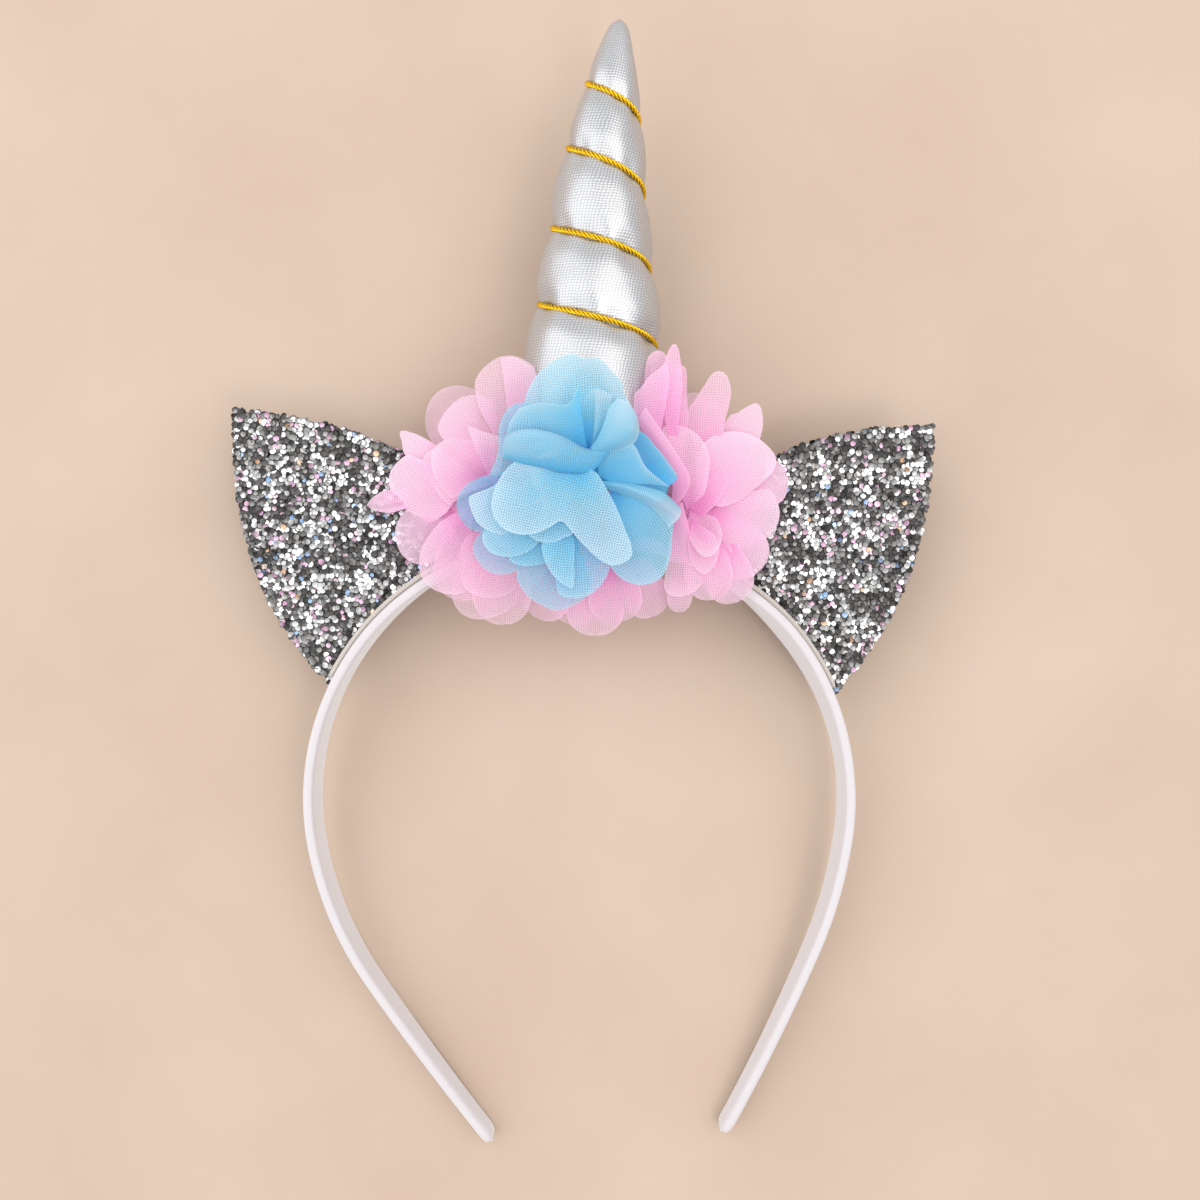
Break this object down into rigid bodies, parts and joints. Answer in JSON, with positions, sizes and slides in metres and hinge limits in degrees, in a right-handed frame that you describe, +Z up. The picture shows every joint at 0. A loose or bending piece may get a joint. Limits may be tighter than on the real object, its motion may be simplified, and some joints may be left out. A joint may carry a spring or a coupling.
{
  "type": "unicorn headband",
  "caption": "Child's satin headband lying on its side, with a stuffed silver horn wound in gold cord, glitter ears and gathered chiffon flowers.",
  "frame": {"origin": "centre of the part's box, on the surface that it lies on", "axes": "+Y towards the horn's tip, +X towards the right ear, +Z up from the surface"},
  "size_m": [0.1564, 0.256, 0.0492],
  "materials": {
    "white_satin": "satin",
    "silver_lame": "satin",
    "gold_cord": "gloss",
    "silver_glitter": "gloss",
    "blue_chiffon": "matte",
    "pink_chiffon": "matte"
  },
  "bodies": {
    "root": {"headband": "white_satin", "horn": "silver_lame", "horn_cord": "gold_cord", "ear_left": "silver_glitter", "ear_right": "silver_glitter", "flower_blue": "blue_chiffon", "flower_pink_left": "pink_chiffon", "flower_pink_right": "pink_chiffon", "flower_pink_middle": "pink_chiffon"}
  },
  "joints": []
}
